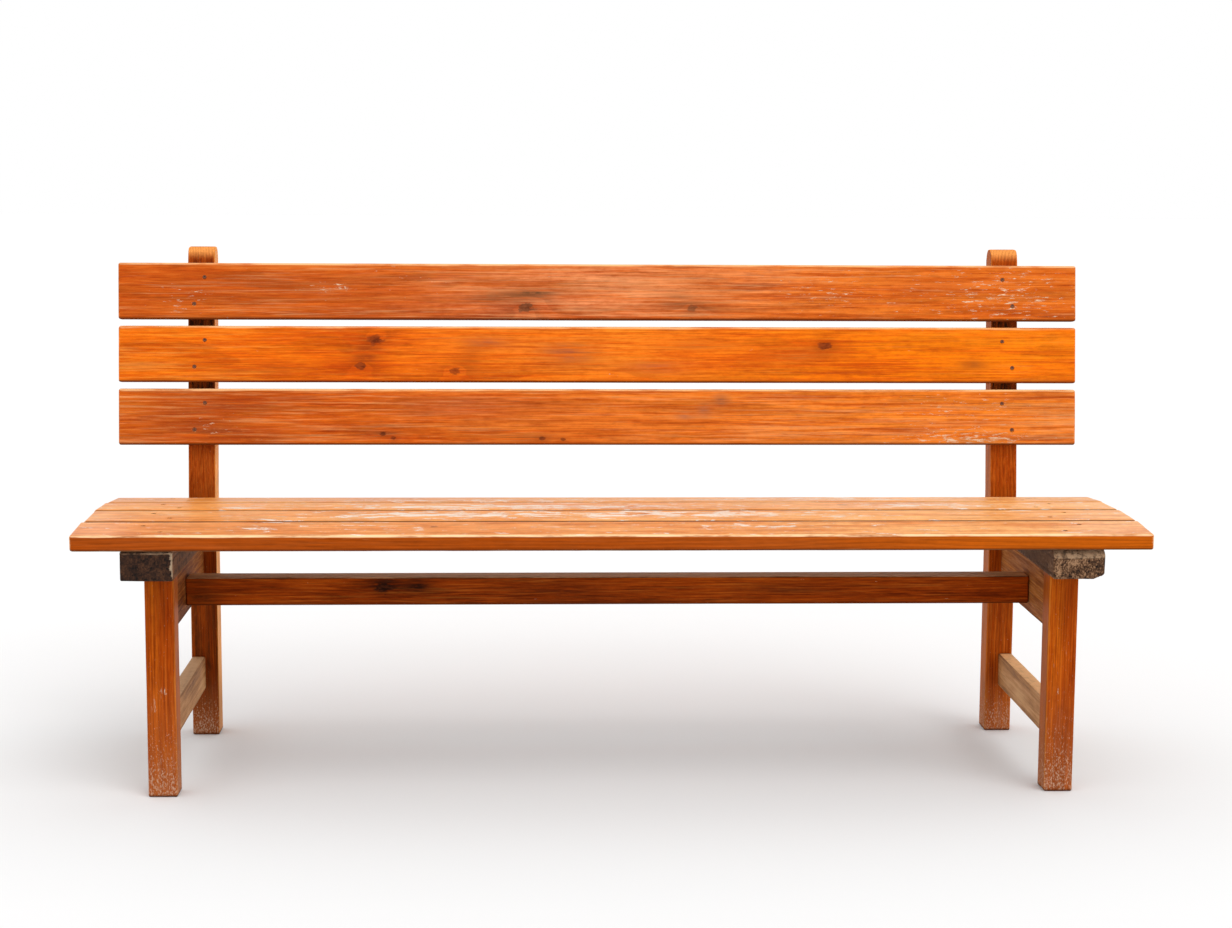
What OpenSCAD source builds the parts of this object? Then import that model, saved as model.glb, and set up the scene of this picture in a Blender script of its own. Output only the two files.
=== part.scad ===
// Wooden park bench with a slatted back: two side frames, a long stretcher,
// four seat boards on shaped bearers and three back slats on cranked rear posts.
// Origin: on the ground, at the middle of the bench's length and depth.
// X runs along the bench, the sitter faces -Y, +Z is up. Millimetres.

/* [Overall] */
// Height of the seat's front top edge
seat_height = 440; // [400:5:480]
// Height of the rear posts' rounded tops
overall_height = 875; // [860:5:980]
// How far the posts lean back above the seat, in degrees
recline = 6.5; // [3:0.5:12]

/* [Seat boards] */
// Length of the four seat boards
seat_length = 1730; // [1500:10:2200]
// Width of one seat board
seat_board_w = 100; // [90:1:120]
// Thickness of one seat board
seat_board_t = 27; // [22:1:34]
// Open gap between neighbouring seat boards
seat_gap = 5; // [3:1:8]
// Rise of the seat's middle above its front and rear edges
seat_crown = 9; // [0:1:12]
// Rounding of every board's long edges
board_round = 4; // [2:0.5:6]

/* [Back slats] */
// How far the slats reach past the outer faces of the rear posts
slat_reach = 110; // [60:5:160]
// Height of one back slat
slat_h = 100; // [80:1:104]
// Thickness of one back slat
slat_t = 24; // [18:1:30]
// Open gap between neighbouring slats
slat_gap = 11; // [6:1:16]
// Distance up the post from seat height to the lowest slat
slat_start = 86; // [70:1:100]
// Sideways offset of the slats from the middle of the bench
slat_shift = -9; // [-12:1:12]

/* [Side frames] */
// Side of the square front leg
leg_size = 48; // [44:1:60]
// Side of the square rear post
post_size = 48; // [44:1:60]
// Distance from the seat's end to the front leg's outer face
leg_inset = 107; // [90:1:140]
// Distance from the seat's front edge back to the front leg
leg_setback = 55; // [30:1:70]
// Step from the front leg's outer face in to the rear post's outer face
post_step = 15; // [10:1:18]
// Distance from the seat's rear edge back to the rear post
post_setback = 50; // [30:1:80]
// Width of the bearer that lies under the seat boards
bearer_w = 85; // [80:1:100]
// Height of the bearer at its front end
bearer_h = 48; // [42:1:56]
// Rounding of the upright edges of the legs and the long edges of the stretcher
timber_round = 3; // [1:0.5:5]
// How far the bearer reaches out past the front leg
bearer_reach = 30; // [20:1:34]
// Distance from the seat's front edge back to the bearer's end
bearer_setback = 4; // [3:1:20]

/* [Rails and stretcher] */
// Thickness of the side rails
rail_t = 25; // [22:1:28]
// Height of the upper side rail
upper_rail_h = 100; // [80:1:120]
// Height of the lower side rail
lower_rail_h = 60; // [50:1:80]
// Height of the lower side rail's lower edge above the ground
lower_rail_z = 84; // [60:1:110]
// Side of the square long stretcher
stretcher_size = 48; // [40:1:56]
// Distance from the seat's front edge back to the stretcher
stretcher_setback = 236; // [180:1:270]
// Distance from the upper rail's lower edge up to the stretcher
stretcher_rise = 16; // [8:1:20]

/* [Joints] */
// Length of each tenon
tenon_l = 24; // [18:1:26]
// Thickness of each tenon
tenon_t = 12; // [10:1:14]
// Step from a rail's edge to its tenon's edge
tenon_shoulder = 10; // [6:1:14]
// Clearance around a tenon, a peg or a screw in its hole
fit_gap = 0.15; // [0.1:0.05:0.3]
// Diameter of the pegs through the tenons
peg_d = 8; // [6:1:10]
// Length of the pegs
peg_l = 38; // [34:1:40]

/* [Screws] */
// Head diameter of the seat and back screws
board_screw_head = 8; // [7:0.5:10]
// Shank diameter of the seat and back screws
board_screw_d = 4; // [3.5:0.5:5]
// Length of the seat and back screws
board_screw_l = 55; // [45:1:60]
// Head diameter of the long frame screws
frame_screw_head = 11; // [10:0.5:13]
// Shank diameter of the long frame screws
frame_screw_d = 6; // [5:0.5:7]
// Length of the long frame screws
frame_screw_l = 90; // [80:1:100]

/* [Hidden] */
$fn = 48;

LEFT = -1;
RIGHT = 1;
SEAT_BOARDS = 4;
BACK_SLATS = 3;

// Seat
seat_pitch = seat_board_w + seat_gap;
seat_depth = SEAT_BOARDS * seat_board_w + (SEAT_BOARDS - 1) * seat_gap;

// Posts, seen from the side
post_lean_l = (overall_height - seat_height - post_size / 2 * (1 - sin(recline))) / cos(recline);
post_top_back = post_lean_l * sin(recline) + post_size / 2 * cos(recline) + post_size / 2;
total_depth = seat_depth + post_setback + post_top_back;

// Places along Y
seat_front_y = -total_depth / 2;
leg_front_y = seat_front_y + leg_setback;
leg_back_y = leg_front_y + leg_size;
post_front_y = seat_front_y + seat_depth + post_setback;
stretcher_y = seat_front_y + stretcher_setback;
bearer_front_y = seat_front_y + bearer_setback;

// Places along X, for the right-hand side frame
leg_out_x = seat_length / 2 - leg_inset;
leg_in_x = leg_out_x - leg_size;
post_out_x = leg_out_x - post_step;
post_in_x = post_out_x - post_size;
rail_in_x = post_out_x - rail_t;
tenon_x = rail_in_x + (rail_t - tenon_t) / 2;
bearer_in_x = leg_out_x + bearer_reach - bearer_w;
slat_length = 2 * (post_out_x + slat_reach);

// Heights
bearer_z = seat_height - seat_board_t - bearer_h;
upper_rail_z = bearer_z - upper_rail_h;
stretcher_z = upper_rail_z + stretcher_rise;

// Screws: the length of the tip in shank diameters, and how deep the heads lie
tip_share = 1.6;
head_sink = 0.5;
bearer_screw_sink = 6;

// Where the two screws of a board or slat lie, as shares of its width and of the timber behind it
seat_screw_back = [0.28, 0.72];
seat_screw_out = [0.27, 0.66];
slat_screw_up = [0.27, 0.74];
slat_screw_out = [0.7, 0.32];

// How far a pair of screws or pegs lies either side of the middle, as a share of the timber's size
pair_share = 0.2;

// How far a hole runs on past the face it starts from
board_hole_over = 2;
frame_hole_over = 20;
peg_hole_over = 1;

// Height of the seat's curve at a distance s behind the front edge
function crown(s) = 4 * seat_crown * s / seat_depth * (1 - s / seat_depth);

// Tilt of seat board i, positive where its rear edge is the higher one
function board_tilt(i) =
    asin((crown(i * seat_pitch + seat_board_w) - crown(i * seat_pitch)) / seat_board_w);

// A point of seat board i, from its front top edge, as [y, z]
function board_point(i, back, down) = [
    seat_front_y + i * seat_pitch + back * cos(board_tilt(i)) + down * sin(board_tilt(i)),
    seat_height + crown(i * seat_pitch) + back * sin(board_tilt(i)) - down * cos(board_tilt(i))];

// Distance up the post from seat height to the lower edge of back slat j
function slat_low(j) = slat_start + j * (slat_h + slat_gap);

// Mirrors a right-hand piece to the left where it is asked for
module on_side(side) {
    mirror([side == LEFT ? 1 : 0, 0, 0]) children();
}

// Stands a profile drawn in (Y, Z) up and extrudes it along X
module along_x(x, width) {
    translate([x, 0, 0]) rotate([90, 0, 90]) linear_extrude(width) children();
}

// Rectangle with rounded corners, lower left corner at the origin
module rounded_rect(w, h, r) {
    translate([r, 0]) square([w - 2 * r, h]);
    translate([0, r]) square([w, h - 2 * r]);
    for (x = [r, w - r], y = [r, h - r]) translate([x, y]) circle(r);
}

// Countersunk screw along +Z, with its head's face at z = 0 and its tip above
module screw(head, shank, length) {
    sink = (head - shank) / 2;
    rotate_extrude() polygon([[0, 0], [head / 2, 0], [shank / 2, sink],
        [shank / 2, length - shank * tip_share], [0, length]]);
}

// Hole for the same screw, open past the head's face
module screw_hole(head, shank, length, over) {
    sink = (head - shank) / 2;
    wide = head / 2 + fit_gap;
    thin = shank / 2 + fit_gap;
    rotate_extrude() polygon([[0, -over], [wide, -over], [wide, 0], [thin, sink],
        [thin, length + fit_gap], [0, length + fit_gap]]);
}

// ---- Places of the screws and pegs, each for the right-hand side ----

// Two screws per seat board, set diagonally over the bearer
module at_seat_screws(i) {
    for (k = [0, 1]) {
        place = board_point(i, seat_board_w * seat_screw_back[k], head_sink);
        x = bearer_in_x + bearer_w * seat_screw_out[k];
        translate([x, place[0], place[1]]) rotate([180 + board_tilt(i), 0, 0]) children();
    }
}

// Two screws per back slat, set diagonally over the post
module at_slat_screws(j) {
    for (k = [0, 1]) {
        up = slat_low(j) + slat_h * slat_screw_up[k];
        x = post_in_x + post_size * slat_screw_out[k];
        on_post(x, head_sink - slat_t, up) rotate([-90, 0, 0]) children();
    }
}

// Two screws down through the bearer into the top of the leg, in front of the tenon
module at_bearer_leg_screws() {
    for (k = [-1, 1]) {
        translate([leg_in_x + leg_size * (1 / 2 + k * pair_share), leg_front_y + (leg_size - tenon_l) / 2,
            bearer_z + bearer_h - bearer_screw_sink])
            rotate([180, 0, 0]) children();
    }
}

// Two screws forward through the post into the end of the bearer
module at_bearer_post_screws() {
    for (k = [-1, 1]) {
        translate([(bearer_in_x + post_out_x) / 2, post_front_y + post_size - head_sink,
            bearer_z + bearer_h * (1 / 2 + k * pair_share)])
            rotate([90, 0, 0]) children();
    }
}

// Two screws in through the upper rail into the end of the stretcher
module at_stretcher_screws() {
    for (k = [-1, 1]) {
        over = stretcher_size * (1 / 2 + k * pair_share);
        translate([post_out_x - head_sink, stretcher_y + over, stretcher_z + over])
            rotate([0, -90, 0]) children();
    }
}

// Pegs through the tenons: one in each lower tenon, two in each upper one
module at_pegs(at_leg) {
    y = at_leg ? leg_back_y - tenon_l / 2 : post_front_y + tenon_l / 2;
    x = at_leg ? leg_out_x : post_out_x;
    upper_mid = upper_rail_z + upper_rail_h / 2;
    spread = upper_rail_h * pair_share;
    heights = [lower_rail_z + lower_rail_h / 2, upper_mid - spread, upper_mid + spread];
    for (z = heights) translate([x, y, z]) rotate([0, -90, 0]) children();
}

module peg_hole() {
    translate([0, 0, -peg_hole_over])
        cylinder(d = peg_d + 2 * fit_gap, h = peg_l + peg_hole_over + fit_gap);
}

// A place in the leaning part of the post: back from its front face, up from seat height
module on_post(x, back, up) {
    translate([x, post_front_y, seat_height]) rotate([-recline, 0, 0]) translate([0, back, up]) children();
}

// ---- Tenons ----

// One tenon or its mortise: grow is the clearance around it
module tenon(y, z, h, grow) {
    translate([tenon_x - grow, y - grow, z + tenon_shoulder - grow])
        cube([tenon_t + 2 * grow, tenon_l + 2 * grow, h - 2 * tenon_shoulder + 2 * grow]);
}

module rail_tenons(z, h, grow) {
    tenon(leg_back_y - tenon_l, z, h, grow);
    tenon(post_front_y, z, h, grow);
}

module mortises() {
    rail_tenons(lower_rail_z, lower_rail_h, fit_gap);
    rail_tenons(upper_rail_z, upper_rail_h, fit_gap);
}

// ---- Wooden pieces ----

module front_leg(side) {
    on_side(side) color("#c06a3c") difference() {
        translate([leg_in_x, leg_front_y, 0])
            linear_extrude(bearer_z) rounded_rect(leg_size, leg_size, timber_round);
        mortises();
        at_pegs(true) peg_hole();
        at_bearer_leg_screws() frame_screw_hole();
    }
}

module post_profile() {
    translate([post_front_y, 0]) square([post_size, seat_height]);
    translate([post_front_y, seat_height]) rotate(-recline) {
        square([post_size, post_lean_l]);
        translate([post_size / 2, post_lean_l]) circle(post_size / 2);
    }
}

module rear_post(side) {
    on_side(side) color("#b4622f") difference() {
        along_x(post_in_x, post_size) post_profile();
        mortises();
        at_pegs(false) peg_hole();
        at_bearer_post_screws() frame_screw_hole();
        for (j = [0 : BACK_SLATS - 1]) at_slat_screws(j) board_screw_hole();
    }
}

// The bearer's upper edge follows the underside of the seat boards
module bearer_profile() {
    first = board_point(0, 0, seat_board_t);
    front_top = [bearer_front_y, first[1] + (bearer_front_y - first[0]) * tan(board_tilt(0))];
    rear_low = board_point(SEAT_BOARDS - 1, seat_board_w, seat_board_t);
    seats = [for (i = [0 : SEAT_BOARDS - 1], back = [0, seat_board_w])
        if (i > 0 || back > 0) board_point(i, back, seat_board_t)];
    polygon(concat([[post_front_y, bearer_z], [bearer_front_y, bearer_z], front_top], seats,
        [[post_front_y, rear_low[1]]]));
}

module seat_bearer(side) {
    on_side(side) color("#3a2c22") difference() {
        along_x(bearer_in_x, bearer_w) bearer_profile();
        at_bearer_leg_screws() frame_screw_hole();
        at_bearer_post_screws() frame_screw_hole();
        for (i = [0 : SEAT_BOARDS - 1]) at_seat_screws(i) board_screw_hole();
    }
}

module side_rail(z, h) {
    translate([rail_in_x, leg_back_y, z]) cube([rail_t, post_front_y - leg_back_y, h]);
    rail_tenons(z, h, 0);
}

module upper_side_rail(side) {
    on_side(side) color("#7d6650") difference() {
        side_rail(upper_rail_z, upper_rail_h);
        at_pegs(true) peg_hole();
        at_pegs(false) peg_hole();
        at_stretcher_screws() frame_screw_hole();
    }
}

module lower_side_rail(side) {
    on_side(side) color("#a08a70") difference() {
        side_rail(lower_rail_z, lower_rail_h);
        at_pegs(true) peg_hole();
        at_pegs(false) peg_hole();
    }
}

module long_stretcher() {
    color("#5a2c1c") difference() {
        translate([-rail_in_x, stretcher_y, stretcher_z]) rotate([90, 0, 90])
            linear_extrude(2 * rail_in_x) rounded_rect(stretcher_size, stretcher_size, timber_round);
        for (side = [LEFT, RIGHT]) on_side(side) at_stretcher_screws() frame_screw_hole();
    }
}

module seat_board(i) {
    low = board_point(i, 0, seat_board_t);
    color("#d98f5c") difference() {
        translate([-seat_length / 2, low[0], low[1]]) rotate([board_tilt(i), 0, 0])
            rotate([90, 0, 90]) linear_extrude(seat_length)
            rounded_rect(seat_board_w, seat_board_t, board_round);
        for (side = [LEFT, RIGHT]) on_side(side) at_seat_screws(i) board_screw_hole();
    }
}

module back_slat(j) {
    color("#bf6a33") difference() {
        on_post(slat_shift - slat_length / 2, -slat_t, slat_low(j)) rotate([90, 0, 90])
            linear_extrude(slat_length) rounded_rect(slat_t, slat_h, board_round);
        for (side = [LEFT, RIGHT]) on_side(side) at_slat_screws(j) board_screw_hole();
    }
}

// ---- Pegs and screws ----

module board_screw_hole() {
    screw_hole(board_screw_head, board_screw_d, board_screw_l, board_hole_over);
}

module frame_screw_hole() {
    screw_hole(frame_screw_head, frame_screw_d, frame_screw_l, frame_hole_over);
}

module rail_pegs() {
    color("#b98d5a") for (side = [LEFT, RIGHT], at_leg = [true, false])
        on_side(side) at_pegs(at_leg) cylinder(d = peg_d, h = peg_l);
}

module seat_screws() {
    color("#6b625a") for (side = [LEFT, RIGHT], i = [0 : SEAT_BOARDS - 1])
        on_side(side) at_seat_screws(i) screw(board_screw_head, board_screw_d, board_screw_l);
}

module back_slat_screws() {
    color("#6b625a") for (side = [LEFT, RIGHT], j = [0 : BACK_SLATS - 1])
        on_side(side) at_slat_screws(j) screw(board_screw_head, board_screw_d, board_screw_l);
}

module bearer_leg_screws() {
    color("#77726c") for (side = [LEFT, RIGHT])
        on_side(side) at_bearer_leg_screws() screw(frame_screw_head, frame_screw_d, frame_screw_l);
}

module bearer_post_screws() {
    color("#77726c") for (side = [LEFT, RIGHT])
        on_side(side) at_bearer_post_screws() screw(frame_screw_head, frame_screw_d, frame_screw_l);
}

module stretcher_screws() {
    color("#77726c") for (side = [LEFT, RIGHT])
        on_side(side) at_stretcher_screws() screw(frame_screw_head, frame_screw_d, frame_screw_l);
}

front_leg(LEFT);  // front_leg_left
front_leg(RIGHT);  // front_leg_right
rear_post(LEFT);  // rear_post_left
rear_post(RIGHT);  // rear_post_right
seat_bearer(LEFT);  // seat_bearer_left
seat_bearer(RIGHT);  // seat_bearer_right
upper_side_rail(LEFT);  // upper_side_rail_left
upper_side_rail(RIGHT);  // upper_side_rail_right
lower_side_rail(LEFT);  // lower_side_rail_left
lower_side_rail(RIGHT);  // lower_side_rail_right
long_stretcher();
seat_board(0);  // seat_board_1
seat_board(1);  // seat_board_2
seat_board(2);  // seat_board_3
seat_board(3);  // seat_board_4
back_slat(0);  // back_slat_bottom
back_slat(1);  // back_slat_middle
back_slat(2);  // back_slat_top
rail_pegs();
seat_screws();
back_slat_screws();
bearer_leg_screws();
bearer_post_screws();
stretcher_screws();
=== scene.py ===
"""The looks of the wooden park bench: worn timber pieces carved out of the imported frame, stained wood,
bare weathered wood and rusty screws, with a studio and a camera."""

import math
from functools import partial

import bmesh
import bpy
import numpy as np
from mathutils import Matrix, Vector, noise
from mathutils.bvhtree import BVHTree


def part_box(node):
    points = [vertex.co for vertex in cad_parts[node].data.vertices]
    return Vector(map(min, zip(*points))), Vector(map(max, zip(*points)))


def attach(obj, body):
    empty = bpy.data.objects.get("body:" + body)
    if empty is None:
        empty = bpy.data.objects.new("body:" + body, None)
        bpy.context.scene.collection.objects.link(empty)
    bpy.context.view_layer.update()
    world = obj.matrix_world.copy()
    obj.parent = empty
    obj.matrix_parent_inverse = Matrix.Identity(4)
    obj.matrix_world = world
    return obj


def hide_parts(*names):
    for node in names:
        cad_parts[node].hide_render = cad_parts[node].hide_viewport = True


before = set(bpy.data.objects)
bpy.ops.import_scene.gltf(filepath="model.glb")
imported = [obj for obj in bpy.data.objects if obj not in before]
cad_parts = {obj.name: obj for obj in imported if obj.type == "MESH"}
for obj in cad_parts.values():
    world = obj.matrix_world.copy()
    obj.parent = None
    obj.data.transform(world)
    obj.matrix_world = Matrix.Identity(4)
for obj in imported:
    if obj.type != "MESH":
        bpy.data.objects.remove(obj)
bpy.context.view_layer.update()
MM = 0.001

X, Y, Z = Vector((1, 0, 0)), Vector((0, 1, 0)), Vector((0, 0, 1))
LEFT, RIGHT, FRONT, BACK, DOWN, UP = (-1, 0, 0), (1, 0, 0), (0, -1, 0), (0, 1, 0), (0, 0, -1), (0, 0, 1)

# How far wear reaches in from an edge
WEAR_REACH = 3.5 * MM
# Where a box has its grid lines near an edge, as distances from it in radii
EDGE_LINES = (0, 0.3, 0.62, 1.0, 1.9, 3.4)
# Angles in degrees above which an edge is sharp
SHARP_TIMBER, SHARP_SCREW = 38, 30


# ---------------------------------------------------------------- meshes


def welded(mesh):
    """A bmesh copy of a mesh with its split corners joined again."""
    bm = bmesh.new()
    bm.from_mesh(mesh)
    bmesh.ops.remove_doubles(bm, verts=bm.verts, dist=1e-6)
    return bm


def oriented_box(node, along):
    """Centre, axes and half sizes of a CAD node. Its first axis is along, its last faces its widest side."""
    bm = welded(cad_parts[node].data)
    sides = {}
    for f in bm.faces:
        if abs(f.normal.dot(along)) < 0.02:
            key = tuple(round(c, 2) for c in f.normal)
            sides[key] = sides.get(key, Vector()) + f.normal * f.calc_area()
    out = sides[max(sides, key=lambda k: (round(sides[k].length, 4), k))]
    out = (out - along * out.dot(along)).normalized()
    across = out.cross(along).normalized()
    axes = [along, across, out]
    points = np.array([v.co for v in bm.verts])
    bm.free()
    reach = [points @ np.array(a) for a in axes]
    low, high = [r.min() for r in reach], [r.max() for r in reach]
    centre = sum((a * ((lo + hi) / 2) for a, lo, hi in zip(axes, low, high)), Vector())
    return centre, axes, [(hi - lo) / 2 for lo, hi in zip(low, high)]


def grid_lines(half, radius, step):
    """Places along one side of a box: close together on its rounded edges, then about a step apart."""
    edge = [-half + radius * t for t in EDGE_LINES]
    edge = [e for e in edge if e < -half * 0.35]
    inner = abs(edge[-1])
    count = max(2, round(2 * inner / step))
    middle = list(np.linspace(-inner, inner, count + 1))[1:-1]
    return np.array(edge + middle + [-e for e in reversed(edge)])


def box_shell(half, radius, steps):
    """Surface points and quads of a box, as a grid over its six sides."""
    lines = [grid_lines(h, radius, s) for h, s in zip(half, steps)]
    shape = tuple(len(l) for l in lines)
    index = -np.ones(shape, int)
    i, j, k = np.indices(shape)
    on = (i == 0) | (i == shape[0] - 1) | (j == 0) | (j == shape[1] - 1) | (k == 0) | (k == shape[2] - 1)
    index[on] = np.arange(on.sum())
    points = np.stack([lines[0][i[on]], lines[1][j[on]], lines[2][k[on]]], 1)
    faces = []
    for axis in range(3):
        for end in (0, -1):
            side = np.take(index, end, axis=axis)
            quads = np.stack([side[:-1, :-1], side[1:, :-1], side[1:, 1:], side[:-1, 1:]], -1).reshape(-1, 4)
            flip = (end == 0) != (axis == 1)
            faces.append(quads[:, ::-1] if flip else quads)
    return points, np.concatenate(faces)


def noise_at(points, scale, seed):
    """Smooth noise from -1 to 1 at each point, stretched by scale on each axis."""
    offset = Vector((seed * 7.31, seed * 3.17, seed * 5.73))
    return np.array([noise.noise(Vector(p) + offset) for p in points * np.array(scale)])


def round_box(points, half, radius):
    """Rounds a box's edges, with a radius for each point. Returns the points and their normals."""
    half = np.array(half)
    r = radius[:, None]
    inner = np.clip(points, -(half - r), half - r)
    out = points - inner
    normal = out / np.linalg.norm(out, axis=1)[:, None]
    return inner + normal * r, normal


def edge_wear(points, half):
    """1 on an edge of the box, falling to 0 a few millimetres into its faces."""
    gap = np.sort(np.array(half) - np.abs(points), axis=1)[:, 1]
    return np.exp(-gap / WEAR_REACH)


def new_mesh_object(name, points, faces, wear, skirt):
    """A mesh object whose points know how near an edge, or a lower edge, they are and which way they face."""
    mesh = bpy.data.meshes.new(name)
    mesh.from_pydata([tuple(p) for p in points], [], [tuple(int(i) for i in f) for f in faces])
    facing = np.array([n.vector for n in mesh.vertex_normals], np.float32)
    mesh.attributes.new("wear", "FLOAT", "POINT").data.foreach_set("value", wear.astype(np.float32))
    mesh.attributes.new("skirt", "FLOAT", "POINT").data.foreach_set("value", skirt.astype(np.float32))
    mesh.attributes.new("facing", "FLOAT_VECTOR", "POINT").data.foreach_set("vector", facing.ravel())
    obj = bpy.data.objects.new(name, mesh)
    bpy.context.scene.collection.objects.link(obj)
    return obj


def apply_boolean(obj, other, operation):
    """Cuts or joins obj with other for good."""
    mod = obj.modifiers.new("cut", "BOOLEAN")
    mod.operation, mod.solver, mod.object = operation, "EXACT", other
    bpy.context.view_layer.update()
    done = bpy.data.meshes.new_from_object(obj.evaluated_get(bpy.context.evaluated_depsgraph_get()))
    obj.modifiers.clear()
    old = obj.data
    obj.data = done
    bpy.data.meshes.remove(old)


def cad_copy(node):
    """A closed copy of a CAD node, for cutting with."""
    bm = welded(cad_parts[node].data)
    mesh = bpy.data.meshes.new(node + "_cutter")
    bm.to_mesh(mesh)
    bm.free()
    obj = bpy.data.objects.new(node + "_cutter", mesh)
    bpy.context.scene.collection.objects.link(obj)
    return obj


def smooth_shade(obj, angle=SHARP_TIMBER):
    """Smooth faces, and sharp edges where they meet at more than the angle."""
    bm = bmesh.new()
    bm.from_mesh(obj.data)
    for f in bm.faces:
        f.smooth = True
    for e in bm.edges:
        e.smooth = len(e.link_faces) != 2 or e.calc_face_angle(0) < math.radians(angle)
    bm.to_mesh(obj.data)
    bm.free()


def finish_piece(obj, node, material):
    """Cuts the holes and mortises of the CAD node into the piece, and puts it in the node's place."""
    cutter = cad_copy(node)
    apply_boolean(obj, cutter, "INTERSECT")
    bpy.data.objects.remove(cutter)
    smooth_shade(obj)
    obj.data.materials.clear()
    obj.data.materials.append(material)
    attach(obj, "root")
    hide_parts(node)
    return obj


def chip_corners(points, half, chips, seed):
    """Knocks corners off a box: a chip is (signs of the corner, size along each axis)."""
    for signs, size in chips:
        corner = np.array(signs) * np.array(half)
        gap = np.abs(points - corner) / np.array(size)
        rough = 1 + 0.35 * noise_at(points, (60, 60, 60), seed)
        depth = np.clip(1 - gap.sum(1) * rough, 0, 1)[:, None]
        points = points - np.array(signs) * depth * np.array(size) * 0.5
    return points


def carve(name, centre, axes, half, seed, radius=4 * MM, sag=0.3 * MM, step=18 * MM, fine_step=9 * MM,
          warp=None, trim=(0, 0), chips=()):
    """A worn piece of timber in an oriented box: rounded edges that vary, a slightly uneven surface. Its
    grid has a step along it and a fine step across it; trim is how much its two ends are cut short."""
    half = [half[0] - (trim[0] + trim[1]) / 2, half[1], half[2]]
    centre = centre + axes[0] * ((trim[0] - trim[1]) / 2)
    points, faces = box_shell(half, radius, [step, fine_step, fine_step])
    wear = edge_wear(points, half)
    corner = noise_at(np.sign(points) * 0.7 + points * np.array([9, 0, 0]), (1, 1, 1), seed)
    fine = noise_at(points, (55, 20, 20), seed + 1)
    rounded, normal = round_box(points, half, radius * (1 + 0.4 * np.clip(corner + 0.5 * fine, 0, 1)))
    hollow = 0.5 + 0.5 * noise_at(points, (2.5, 28, 28), seed + 2)
    rounded = rounded - normal * (0.1 * MM + sag * hollow)[:, None]
    rounded = chip_corners(rounded, half, chips, seed + 3)
    turn = np.array([list(a) for a in axes])
    world = rounded @ turn + np.array(centre)
    if warp:
        world = warp(world)
    upright = int(np.argmax(np.abs(turn[:, 2])))
    above = half[upright] + points[:, upright] * np.sign(turn[upright, 2])
    skirt = np.exp(-above / WEAR_REACH)
    return new_mesh_object(name, world, faces, wear, skirt)


TREES = {}


def reach_on(node, at, way):
    """Where a ray from outside the CAD node, at a point and going way, meets it."""
    if node not in TREES:
        TREES[node] = BVHTree.FromObject(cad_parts[node], bpy.context.evaluated_depsgraph_get())
    return TREES[node].ray_cast(Vector(at) - way, way)[0]


# ---------------------------------------------------------------- materials


class Graph:
    """A material's node graph, built with short calls."""

    def __init__(self, name):
        self.material = bpy.data.materials.new(name)
        self.material.use_nodes = True
        self.tree = self.material.node_tree
        self.shader = self.tree.nodes["Principled BSDF"]

    def put(self, socket, value):
        """Links an output to a socket, or sets the socket's own value."""
        if isinstance(value, bpy.types.NodeSocket):
            self.tree.links.new(value, socket)
        else:
            socket.default_value = value

    def node(self, kind, out=0, settings=None, **inputs):
        """Adds a node and returns one of its outputs. An input goes by its name, or by i and its number."""
        n = self.tree.nodes.new(kind)
        for key, value in (settings or {}).items():
            setattr(n, key, value)
        for key, value in inputs.items():
            place = int(key[1:]) if key[0] == "i" and key[1:].isdigit() else key.replace("_", " ")
            self.put(n.inputs[place], value)
        return n.outputs[out]

    def attribute(self, name, out=2):
        """A value that the piece's mesh carries, such as wear; out=1 gives a vector."""
        return self.node("ShaderNodeAttribute", out=out, settings={"attribute_name": name})

    def math(self, operation, a, b=0.0):
        return self.node("ShaderNodeMath", settings={"operation": operation}, i0=a, i1=b)

    def add(self, a, b):
        return self.math("ADD", a, b)

    def mul(self, a, b):
        return self.math("MULTIPLY", a, b)

    def step(self, value, low, high, to_low=0.0, to_high=1.0):
        """A smooth step from to_low below low to to_high above high."""
        return self.node("ShaderNodeMapRange", settings={"interpolation_type": "SMOOTHSTEP"},
                         i0=value, i1=low, i2=high, i3=to_low, i4=to_high)

    def mix(self, factor, a, b):
        n = self.tree.nodes.new("ShaderNodeMix")
        n.data_type = "RGBA"
        self.put(n.inputs[0], factor)
        self.put(n.inputs[6], a)
        self.put(n.inputs[7], b)
        return n.outputs[2]

    def noise(self, vector, scale, detail=3.0, rough=0.55, distort=0.0):
        return self.node("ShaderNodeTexNoise", Vector=vector, Scale=scale, Detail=detail,
                         Roughness=rough, Distortion=distort)

    def stretch(self, vector, scale):
        return self.node("ShaderNodeMapping", Vector=vector, Scale=scale)

    def split(self, vector):
        n = self.tree.nodes.new("ShaderNodeSeparateXYZ")
        self.put(n.inputs[0], vector)
        return n.outputs

    def join(self, x, y, z):
        return self.node("ShaderNodeCombineXYZ", i0=x, i1=y, i2=z)

    def ramp(self, factor, *stops):
        """Colours at places from 0 to 1."""
        n = self.tree.nodes.new("ShaderNodeValToRGB")
        self.put(n.inputs[0], factor)
        ramp = n.color_ramp
        while len(ramp.elements) < len(stops):
            ramp.elements.new(0.5)
        for element, (place, colour) in zip(ramp.elements, stops):
            element.position = place
            element.color = (*colour, 1)
        return n.outputs[0]


def rgba(colour):
    return (*colour, 1)


# Which of X, Y, Z runs along the grain, across the piece and into it
GRAIN_AXES = {"seat": (0, 1, 2), "slat": (0, 2, 1), "beam": (0, 2, 1), "upright": (2, 0, 1),
              "rail": (1, 2, 0)}


def grain_space(g, grain, seed, broad=1.0):
    """Coordinates along the grain, across it and into the wood, and all three moved for each piece.
    The broader the grain, the wider its marks across the piece."""
    place = g.split(g.node("ShaderNodeTexCoord", out=3))
    along, across, deep = (place[i] for i in GRAIN_AXES[grain])
    moved = g.join(g.add(along, seed * 1.37), g.add(g.mul(across, 1 / broad), seed * 0.71), deep)
    return along, across, deep, moved


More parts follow.
